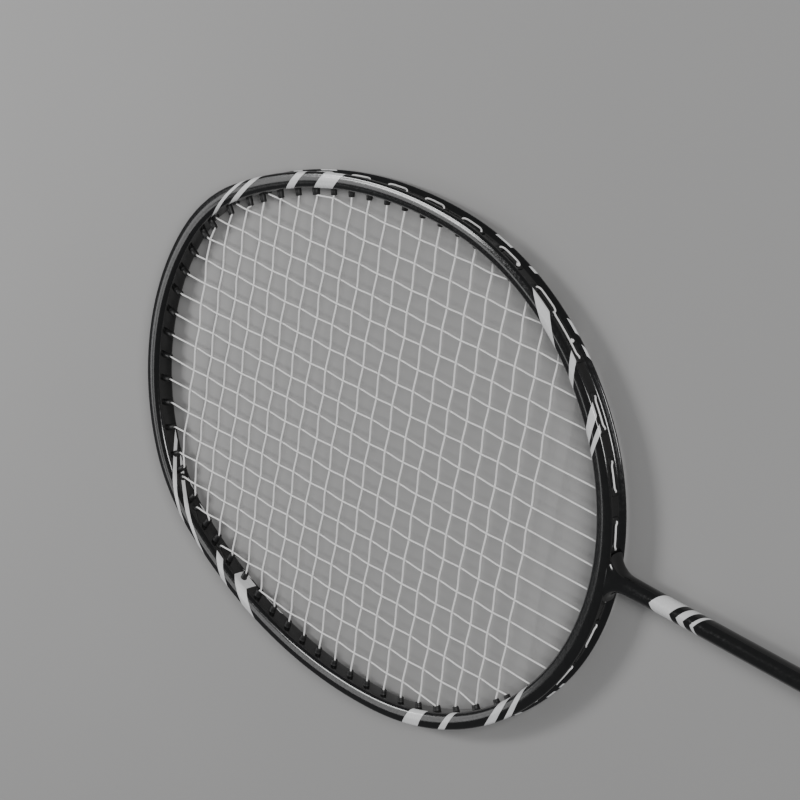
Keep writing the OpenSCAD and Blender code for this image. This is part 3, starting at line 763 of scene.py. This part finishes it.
def build_shaft():
    ring = round_box(SHAFT_R - SKIN, SHAFT_R - SKIN, 2, SHAFT_SIDES)
    ys = np.linspace(SHAFT_FOOT, SHAFT_TOP, SHAFT_RINGS)
    turn = np.abs(np.arctan2(ring[:, 0], ring[:, 1])) / math.pi
    along = [np.full(len(ring), THROAT_OUTER - y) for y in ys]
    m = Mesh("along", "across")
    m.rings([level(ring, y) for y in ys], along=along, across=[turn] * len(ys))
    make("shaft", m, SHAFT_LACQUER, ["shaft_tube"], 50)


# ---- strings --------------------------------------------------------------
WEAVE = STRING_R + 0.02
MOUTH_GAP = 0.7
LOOP_LEAD, LOOP_STEP, FEWEST_STEPS = 0.8, 3, 3
BED_STEP = 1.5


def is_woven(m, c):
    """Whether main m and cross c pass each other before either reaches its barrel."""
    port = right_port(c)
    inside = abs(main_x(m)) < outline(port[1], -port[2])[0] - MOUTH_GAP
    return inside and c not in (partner_of(m, True), partner_of(m, False))


def over(m, c):
    """1 where main m passes over cross c, and -1 where it passes under."""
    return 1 if (m + c) % 2 == 0 else -1


def bed_line(points):
    """A string between its two mouths, waved smoothly from crossing to crossing."""
    out = [points[0]]
    for a, b in zip(points, points[1:]):
        steps = max(2, math.ceil(np.linalg.norm(b - a) / BED_STEP))
        for j in range(1, steps + 1):
            s = j / steps
            p = a + (b - a) * s
            p[2] = a[2] + (b[2] - a[2]) * (1 - math.cos(math.pi * s)) / 2
            out.append(p)
    return out


def through(first, second, bed, mouth=None):
    """A string from one port's groove end to the other's, by its bed points. mouth stands in
    for the first port's own mouth."""
    if mouth is None:
        mouth = port_point(first, -first[2])
    line = bed_line([mouth] + bed + [port_point(second, -second[2])])
    return [port_point(first, LOOP_N)] + line + [port_point(second, LOOP_N)]


def main_line(m):
    """Main m from throat to tip, or from tip to throat where m is even."""
    x, crosses = main_x(m), [c for c in range(CROSSES, 0, -1) if is_woven(m, c)]
    bed = [np.array([x, cross_y(c), WEAVE * over(m, c)]) for c in crosses]
    mouth = np.array([0, THROAT_WALL + GROWTH + FLUSH_PROUD, 0.0]) if m == MIDDLE else None
    line = through(throat_port(m), tip_port(m), bed, mouth)
    return line if m % 2 else line[::-1]


def cross_line(c):
    """Cross c from -X to +X, or from +X to -X where c is even."""
    y, mains = cross_y(c), [m for m in range(MAINS, 0, -1) if is_woven(m, c)]
    bed = [np.array([main_x(m), y, -WEAVE * over(m, c)]) for m in mains]
    line = through(left_port(c), right_port(c), bed)
    return line if c % 2 else line[::-1]


def loop_between(a, b, z):
    """Points along the groove from port a to port b."""
    turn = b[1] - a[1]
    steps = max(FEWEST_STEPS, math.ceil(abs(turn) / LOOP_STEP))
    lead = min(0.5 / steps, LOOP_LEAD / abs(turn))
    out = []
    for j in range(steps + 1):
        x, y = outline(a[1] + turn * (lead + (1 - 2 * lead) * j / steps), LOOP_N)
        out.append(np.array([a[0] * x, y, z]))
    return out


def soften(points, reach=0.9, passes=2):
    """Rounds the corners of a line without moving its long straight runs."""
    long_run, closest = 2.4 * reach, 0.3
    line = [points[0]]
    for a, b in zip(points, points[1:]):
        length = np.linalg.norm(b - a)
        if length > long_run:
            step = (b - a) / length * reach
            line += [a + step, b - step]
        line.append(b)
    for _ in range(passes):
        cut = [line[0]]
        for a, b in zip(line, line[1:]):
            cut += [a * 0.75 + b * 0.25, a * 0.25 + b * 0.75]
        line = cut + [line[-1]]
    kept = [line[0]]
    for p in line[1:]:
        if np.linalg.norm(p - kept[-1]) > closest:
            kept.append(p)
    return kept


def tube(m, points, radius, sides=8):
    """Adds a closed tube along points, with its length and turn for the material."""
    p = np.array(points)
    t = np.gradient(p, axis=0)
    t /= np.linalg.norm(t, axis=1)[:, None]
    side = np.cross(t, (0, 0, 1.0))
    side /= np.linalg.norm(side, axis=1)[:, None]
    up = np.cross(side, t)
    a = (np.arange(sides) + 0.5) * math.tau / sides
    c, s = np.cos(a), np.sin(a)
    run = np.r_[0, np.cumsum(np.linalg.norm(np.diff(p, axis=0), axis=1))]
    rows = [p[i] + radius * (c[:, None] * side[i] + s[:, None] * up[i]) for i in range(len(p))]
    along = [np.full(sides, r) for r in run]
    m.rings(rows, along=along, turn_c=[c] * len(p), turn_s=[s] * len(p))


def build_string(name, lines, links, node):
    """One string: each line, then the loop that leads to the next."""
    path = list(lines[0])
    for link, line in zip(links, lines[1:]):
        path += link + line
    m = Mesh("along", "turn_c", "turn_s")
    tube(m, soften(path), STRING_R)
    make(name, m, STRING, [node])


def build_strings():
    links = []
    for m in range(1, MAINS):
        port = tip_port if m % 2 else throat_port
        links.append(loop_between(port(m), port(m + 1), LOOP_Z))
    build_string("mains", [main_line(m) for m in range(1, MAINS + 1)], links, "main_string")
    links = []
    for c in range(1, CROSSES):
        port = right_port if c % 2 else left_port
        links.append(loop_between(port(c), port(c + 1), -LOOP_Z))
    lines = [cross_line(c) for c in range(1, CROSSES + 1)]
    build_string("crosses", lines, links, "cross_string")


# ---- grommets -------------------------------------------------------------
FLANGE_L, FLANGE_W, STRIP_W, FLANGE_T = 3.0, 3.2, 2.4, 0.6
STRIP_STEP, FEWEST_STRIP_STEPS = 0.4, 8
BARREL_SIDES, BARREL_END = 28, 2.6
LOW_BARREL, GROMMET_CRISP = 1, 50

# Each group: piece, CAD node, its kind of port, the first of each joined pair, the single ones.
GROMMETS = [
    ("grommets_tip", "tip_grommets", tip_port, (5, 7, 9, 11, 13), (2, 3, 4, 15, 16, 17, 18)),
    ("grommets_right", "right_grommets", right_port, (5, 9, 11, 13, 15), (1, 2, 3, 4, 8, 17, 19, 21)),
    ("grommets_left", "left_grommets", left_port, (5, 8, 10, 12, 14, 16), (1, 2, 3, 4, 19, 21)),
    ("grommets_throat", "throat_grommets", throat_port, (4, 6, 8, 12, 14), (3, 11, 16, 17)),
]


def barrel_profile(proud, radius, bore):
    """(distance out from the mouth, radius): a rounded mouth, and for a barrel that stands
    proud a slight taper and a small collar at the wall."""
    if proud < LOW_BARREL:
        return [(BARREL_END, bore), (0.2, bore), (0.05, bore + 0.12), (0, bore + 0.25),
                (0, radius), (0.1, radius + 0.2), (0.5, radius + 0.3), (1.2, radius + 0.2)]
    return [(BARREL_END, bore), (0.25, bore), (0.06, bore + 0.1), (0, bore + 0.22),
            (0, radius - 0.3), (0.07, radius - 0.14), (0.22, radius - 0.05),
            (proud * 0.6, radius), (proud - 0.25, radius + 0.02), (proud - 0.1, radius + 0.12),
            (proud + 0.15, radius + 0.14), (proud + 0.6, radius + 0.1), (proud + 1.2, radius)]


def barrel(m, port, radius, bore):
    """A moulded barrel from its mouth to inside the hoop's wall."""
    axis, side = port_axes(port)
    base = port_point(port[:3] + (0,), -port[2])
    a = np.arange(BARREL_SIDES) * math.tau / BARREL_SIDES
    around = np.cos(a)[:, None] * side + np.sin(a)[:, None] * np.array([0, 0, 1.0])
    profile = barrel_profile(port[2] - growth_at(port[1]), radius, bore)
    m.rings([base + t * axis + r * around for t, r in profile])


def strip(m, headings, side):
    """The flange on the groove's floor round one hole, or joining two."""
    low, high = min(headings), max(headings)
    radius = RADII[arc_of(low)] + FLOOR_N
    pad = math.degrees(FLANGE_L / 2 / radius)
    start, span = low - pad, high - low + 2 * pad
    steps = max(FEWEST_STRIP_STEPS, math.ceil(span * math.radians(radius) / STRIP_STEP))
    rows = []
    for j in range(steps + 1):
        h = start + span * j / steps
        off = min(abs(h - k) for k in headings) / pad
        share = share_of(off, 0.85, 1.15)
        width = FLANGE_W + (STRIP_W - FLANGE_W) * eased(share)
        thick = FLANGE_T * (1 - 0.3 * share)
        if j in (0, steps):
            width, thick = width * 0.88, thick * 0.6
        ring = round_box(thick, width / 2, 5, 20)
        ring = ring[ring[:, 0] > -0.25 * thick]
        xy = outline(h, FLOOR_N) + ring[:, :1] * normal_at(h)
        rows.append(np.c_[side * xy[:, 0], xy[:, 1], ring[:, 1]])
    m.rings(rows)


def grommet_piece(name, node, pairs, singles, radius=BARREL_R, bore=BARREL_BORE):
    m = Mesh()
    for ports in pairs + [(port,) for port in singles]:
        strip(m, [port[1] for port in ports], ports[0][0])
        for port in ports:
            barrel(m, port, radius, bore)
    make(name, m, NYLON, [node], GROMMET_CRISP)


def build_grommets():
    for name, node, port, firsts, singles in GROMMETS:
        pairs = [(port(k), port(k + 1)) for k in firsts]
        grommet_piece(name, node, pairs, [port(k) for k in singles])
    shared = [cross_port(c, side) for side in (-1, 1) for c in SHARED_CROSSES]
    grommet_piece("grommets_shared", "shared_grommets", [], shared, SHARED_R, SHARED_BORE)


# Each string's knots: piece, CAD node, and the ports of its two ends.
KNOTS = [("knots_main", "main_knots", (throat_port(1), tip_port(MAINS))),
         ("knots_cross", "cross_knots", (left_port(1), right_port(CROSSES)))]
KNOT_LIFT, KNOT_R, KNOT_SWING, KNOT_HEIGHT, KNOT_STRING_R = 0.55, 0.42, 0.2, 0.22, 0.26


def build_knots():
    """A small overhand knot pulled down on each string's free end."""
    t = np.linspace(0, math.tau * 0.96, 60)
    r = KNOT_R + KNOT_SWING * np.cos(3 * t)
    for name, node, ports in KNOTS:
        m = Mesh("along", "turn_c", "turn_s")
        for port in ports:
            axis, side = port_axes(port)
            line = port_point(port, FLOOR_N + FLANGE_T + KNOT_LIFT)
            line = line + np.outer(r * np.cos(2 * t), side)
            line = line + np.outer(r * np.sin(2 * t), (0, 0, 1))
            line = line + np.outer(KNOT_HEIGHT * np.sin(3 * t), axis)
            tube(m, line, KNOT_STRING_R)
        make(name, m, STRING, [node])


# ---- handle ---------------------------------------------------------------
RING_SIDES = 96
RING_ANGLES = np.arange(RING_SIDES) * math.tau / RING_SIDES
CHAMFER = 0.29
GRIP_W, GRIP_T = tape_high[0] * 2 - 0.8, tape_high[2] * 2 - 0.8
SWELL_W, SWELL_T = grip_high[0] * 2, grip_high[2] * 2


def circle_ring(radius):
    return np.c_[radius * np.cos(RING_ANGLES), radius * np.sin(RING_ANGLES)]


def octagon_ring(w, t, sharp=26, blend=1.0, circle=0.0):
    """A ring round an octagon of width w and thickness t; blend 0 is a circle of that radius."""
    cos, sin = np.cos(RING_ANGLES), np.sin(RING_ANGLES)
    c, s = np.abs(cos), np.abs(sin)
    diagonal = (w / 2 + t / 2 - CHAMFER * t) / math.sqrt(2)
    total = (c / (w / 2)) ** sharp + (s / (t / 2)) ** sharp
    total = total + ((c + s) / math.sqrt(2) / diagonal) ** sharp
    r = total ** (-1 / sharp) * blend + circle * (1 - blend)
    return np.c_[r * cos, r * sin]


def raised(ring, height):
    """A ring with each point moved out by its own height."""
    return ring * (1 + (height / np.linalg.norm(ring, axis=1))[:, None])


def stack(name, rows, material, nodes, crisp=40):
    """Joins (ring, y) rows into one closed piece."""
    m = Mesh()
    m.rings([level(ring, y) for ring, y in rows])
    make(name, m, material, nodes, crisp)


WRAP_STEP, WRAP_RISE, WRAP_LAP, WRAP_FADE, WRAP_END = 0.42, 0.8, 4.2, 3, 1.5


def grip_step(y):
    """How far the wrap stands out: each turn starts with a step over the last one."""
    phase = ((y - grip_low[1]) / WRAP_PITCH - RING_ANGLES / math.tau) % 1.0
    run = phase * WRAP_PITCH
    rise = eased(np.clip(run / WRAP_RISE, 0, 1))
    soft = np.clip(1 - (run - WRAP_LAP) / WRAP_FADE, 0, 1)
    return WRAP_STEP * rise * (0.25 + 0.75 * soft) * np.clip((1 - phase) * WRAP_PITCH / WRAP_END, 0, 1)


GRIP_SINK, GRIP_RING_STEP = 0.7, 0.4
SWELL_FROM, SWELL_TO = 13.5, 22.5
EDGE_ROUND, EDGE_SHARE = 1.2, 0.05


def build_grip():
    """The wrapped grip, swelling towards the butt and rounded at its lower edge."""
    rows = [(octagon_ring(SWELL_W - 4.5, SWELL_T - 4.5), grip_low[1] + 0.05)]
    for y in np.arange(grip_low[1], grip_high[1] + 0.01, GRIP_RING_STEP):
        ease = eased(share_of(y, SWELL_FROM, SWELL_TO))
        w, t = SWELL_W + (GRIP_W - SWELL_W) * ease, SWELL_T + (GRIP_T - SWELL_T) * ease
        ring = raised(octagon_ring(w - GRIP_SINK, t - GRIP_SINK, 20), grip_step(y))
        edge = min(1, (y - grip_low[1]) / EDGE_ROUND)
        ring = ring * (1 - EDGE_SHARE * (1 - math.sqrt(max(0, 1 - (1 - edge) ** 2))))
        rows.append((ring, y))
    stack("grip_wrap", rows, GRIP, ["base_grip"], 60)


# (share of the tape's length, how far in from its surface)
TAPE_PROFILE = [(0, 0.7), (0.0, 0.12), (0.03, 0.0), (0.25, 0.03), (0.5, 0.0), (0.75, 0.03),
                (0.97, 0.0), (1, 0.12), (1, 3.2)]
TAPE_LAP, TAPE_SINK = 0.16, 0.3


def build_tape():
    """The closing tape, thicker on the stretch where its end laps over."""
    lap = TAPE_LAP * ((RING_ANGLES > 1.0) & (RING_ANGLES < 2.4))
    w, t = tape_high[0] * 2 - TAPE_SINK, tape_high[2] * 2 - TAPE_SINK
    low, length = tape_low[1], tape_high[1] - tape_low[1]
    rows = []
    for share, inset in TAPE_PROFILE:
        ring = raised(octagon_ring(w - 2 * inset, t - 2 * inset, 22), lap)
        rows.append((ring, low + length * share))
    stack("grip_end_tape", rows, TAPE, ["finish_tape"])


CONE_LENGTH, CONE_NECK, CONE_MOUTH_R, CONE_STEPS = 35, 12, 4.8, 24
# The cone's collar, as (distance above its base, how much smaller than the handle).
CONE_COLLAR = [(-1, 0), (-0.4, 0.05), (0, 0.7), (0.5, 0.7), (1, 0.3)]
# Its neck, as (distance below the top, radius).
CONE_NECK_PROFILE = [(11, CONE_MOUTH_R + 0.78), (9.6, CONE_MOUTH_R + 0.72), (9.2, CONE_MOUTH_R + 0.42),
                     (8.6, CONE_MOUTH_R + 0.42), (8.2, CONE_MOUTH_R + 0.6), (3, CONE_MOUTH_R + 0.25),
                     (0.8, CONE_MOUTH_R + 0.1), (0.2, CONE_MOUTH_R - 0.12), (0, CONE_MOUTH_R - 0.45),
                     (0, SHAFT_R + 0.25), (0.3, SHAFT_R + 0.05), (4, SHAFT_R + 0.03)]


def build_cone():
    """The shell over the handle's top: an octagon that turns into a round neck."""
    w, t = cone_high[0] * 2, cone_high[2] * 2
    base, top = cone_high[1] - CONE_LENGTH, cone_high[1]
    rows = [(octagon_ring(w - 3, t - 3), cone_low[1]), (octagon_ring(w, t), cone_low[1] + 0.05)]
    for rise, less in CONE_COLLAR:
        rows.append((octagon_ring(w - less, t - less), base + rise))
    start = base + 1
    radius = CONE_MOUTH_R + 0.8
    for j in range(1, CONE_STEPS + 1):
        s = j / CONE_STEPS
        size = 1 - s ** 1.25
        end = 2 * radius * (1 - size)
        blend = max(0.0, 1 - s ** 1.6)
        ring = octagon_ring((w - 0.3) * size + end, (t - 0.3) * size + end, 20, blend,
                            radius + (w / 2 - radius) * size)
        rows.append((ring, start + (top - CONE_NECK - start) * s))
    rows += [(circle_ring(r), top - drop) for drop, r in CONE_NECK_PROFILE]
    stack("cone", rows, CONE, ["cone_cap"], 35)


CAP_ROUND_W, CAP_ROUND_H, CAP_ROUND_STEPS = 2.4, 1.4, 7


def build_cap():
    """The cap on the handle's end, with a round recess for the disc."""
    w, t = cap_high[0] * 2, cap_high[2] * 2
    recess, floor = disc_high[0] + 0.1, disc_high[1] + 0.3
    rows = [(circle_ring(recess - 2), floor), (circle_ring(recess), floor),
            (circle_ring(recess), 0.25), (circle_ring(recess + 0.2), 0.0)]
    for j in range(CAP_ROUND_STEPS + 1):
        a = math.pi / 2 * j / CAP_ROUND_STEPS
        less = CAP_ROUND_W * (1 - math.sin(a))
        rows.append((octagon_ring(w - less, t - less), CAP_ROUND_H * (1 - math.cos(a))))
    for less, y in ((0, 3.6), (0.1, 4.6), (0.8, cap_low[1] + 5.0), (5, 5.05)):
        rows.append((octagon_ring(w - less, t - less), y))
    stack("butt_end_cap", rows, CAP, ["butt_cap"], 32)


# The disc's turned rings, as (distance in from its rim, distance above its face).
DISC_PROFILE = [(0, 0.2), (0.2, 0), (1.2, 0), (1.4, 0.25), (2.0, 0.25), (2.2, 0.1), (4.6, 0.1),
                (4.8, 0.22), (5.1, 0.22), (5.3, 0.1)]
DISC_CENTRE_R = 0.4


def build_disc():
    """A plain turned disc with rings in place of any badge."""
    rim, face = disc_high[0] - 0.02, disc_low[1]
    rows = [(circle_ring(rim), disc_high[1])]
    rows += [(circle_ring(rim - inward), face + rise) for inward, rise in DISC_PROFILE]
    rows.append((circle_ring(DISC_CENTRE_R), face + 0.1))
    stack("butt_plate", rows, DISC, ["butt_disc"], 30)


add_camera()
build_hoop()
build_throat()
build_shaft()
build_strings()
build_grommets()
build_knots()
build_grip()
build_tape()
build_cone()
build_cap()
build_disc()

# CAD pieces that stay as they are and only get a material.
KEPT = [("handle_core", TIMBER, "handle_wood"), ("t_connector", ALUMINIUM, "connector_metal"),
        ("cap_staples", STEEL, "staple_wire"), ("grip_tack", STEEL, "staple_wire"),
        ("centre_grommet", NYLON, "grommet_nylon")]
for node, material, slot_name in KEPT:
    mesh = NODES[node].data
    mesh.materials.clear()
    mesh.materials.append(material)


# ---- floor and light ------------------------------------------------------
FLOOR_HALF, FLOOR_CELLS, FLOOR_MIDDLE_Y, FLOOR_GAP = 4000, 8, 400, 0.05
SWELL_REST_Y, TIP_REST = 10, 3


def floor_material():
    sh = Shade("pale_floor")
    cloud = sh.noise(0.004, 4)
    grain = sh.noise(0.25, 5)
    sh.put("Base Color", sh.mix(cloud, grey(0.33, 0.01), grey(0.37, 0.01)))
    sh.put("Roughness", 0.75)
    sh.bump(grain, 0.15, 0.25)
    return sh.material


def add_floor():
    """A sheet just under the racket, which rests on the grip's swell and the tip of the hoop."""
    rest_low = Vector((0, SWELL_REST_Y, grip_low[2])) * MM
    rest_high = Vector((0, hoop_high[1] - TIP_REST, hoop_low[2])) * MM
    slope = (rest_high.z - rest_low.z) / (rest_high.y - rest_low.y)
    height = rest_low.z / MM - FLOOR_GAP
    steps = np.linspace(-FLOOR_HALF, FLOOR_HALF, FLOOR_CELLS + 1)
    points = []
    for y in steps + FLOOR_MIDDLE_Y:
        points += [(x, y, height + slope * (y - SWELL_REST_Y)) for x in steps]
    wide = FLOOR_CELLS + 1
    faces = []
    for i in range(FLOOR_CELLS):
        for a in range(i * wide, i * wide + FLOOR_CELLS):
            faces.append((a, a + 1, a + wide + 1, a + wide))
    mesh = bpy.data.meshes.new("floor")
    mesh.from_pydata((np.array(points) * MM).tolist(), [], faces)
    mesh.materials.append(floor_material())
    floor = bpy.data.objects.new("floor", mesh)
    bpy.context.scene.collection.objects.link(floor)


def add_light(name, place, size, power, aim=None):
    """A soft box. It faces straight down, or towards aim."""
    data = bpy.data.lights.new(name, "AREA")
    data.shape, data.size, data.size_y = "RECTANGLE", size[0], size[1]
    data.energy = power
    light = bpy.data.objects.new(name, data)
    bpy.context.scene.collection.objects.link(light)
    light.location = place
    if aim is not None:
        light.rotation_mode = "QUATERNION"
        light.rotation_quaternion = (Vector(place) - Vector(aim)).to_track_quat("Z", "Y")


def add_world():
    world = bpy.data.worlds.new("studio")
    world.use_nodes = True
    background = world.node_tree.nodes["Background"]
    background.inputs["Color"].default_value = (0.75, 0.77, 0.8, 1)
    background.inputs["Strength"].default_value = 0.2
    bpy.context.scene.world = world


add_floor()
add_world()
add_light("fill_panel", (-0.25, 1.4, 0.8), (0.5, 0.6), 2.2)
add_light("key_strip", (0.135, 1.275, 0.8), (0.23, 0.45), 6.5)
add_light("front_box", (0.9, -0.9, 1.2), (0.8, 0.6), 30, (0, 0.5, 0))
